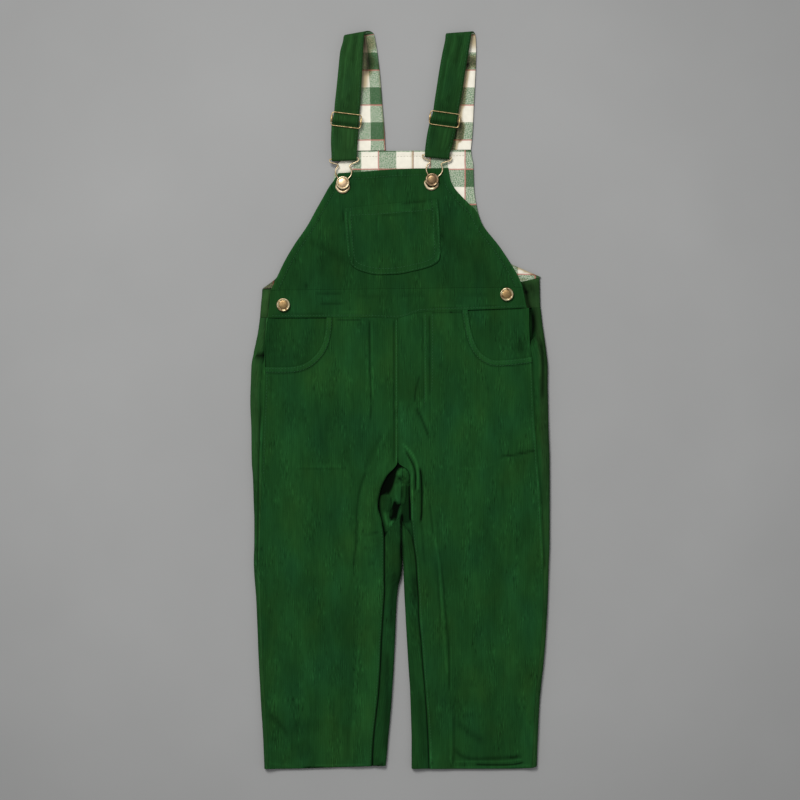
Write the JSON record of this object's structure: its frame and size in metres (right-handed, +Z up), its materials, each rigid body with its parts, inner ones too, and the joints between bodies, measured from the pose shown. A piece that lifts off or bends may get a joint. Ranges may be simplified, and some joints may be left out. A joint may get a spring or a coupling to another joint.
{
  "type": "bib overalls",
  "caption": "Toddler's corduroy bib overalls laid flat, straps folded over the top to wire slides and clips, bib with a patch pocket.",
  "frame": {"origin": "middle of the footprint of the laid-out garment, on the surface that it lies on", "axes": "+Y from the leg hems towards the folded tops of the straps, +Z up from the surface, +X to the garment's right as it is seen from above"},
  "size_m": [0.299, 0.7372, 0.0117],
  "materials": {
    "green_corduroy": "fine-wale cotton corduroy, matt, worn nap",
    "check_lining": "brushed cotton in a green and cream check with thin red lines",
    "antique_brass": "antique brass plate, dulled"
  },
  "bodies": {
    "root": {"front_leg_left": "green_corduroy", "front_leg_right": "green_corduroy", "back_leg_left": "green_corduroy", "back_leg_right": "green_corduroy", "pocket_facing_left": "green_corduroy", "pocket_facing_right": "green_corduroy", "back_waistband": "green_corduroy", "front_waistband": "green_corduroy", "front_bib": "green_corduroy", "bib_pocket": "green_corduroy", "back_bib_left": "green_corduroy", "back_bib_right": "green_corduroy", "back_bib_lining_left": "check_lining", "back_bib_lining_right": "check_lining", "strap_left": "green_corduroy", "strap_right": "green_corduroy", "strap_lining_left": "check_lining", "strap_lining_right": "check_lining", "slider_left": "antique_brass", "slider_right": "antique_brass", "clip_left": "antique_brass", "clip_right": "antique_brass", "bib_button_left": "antique_brass", "bib_button_right": "antique_brass", "side_button_left": "antique_brass", "side_button_right": "antique_brass"}
  },
  "joints": []
}
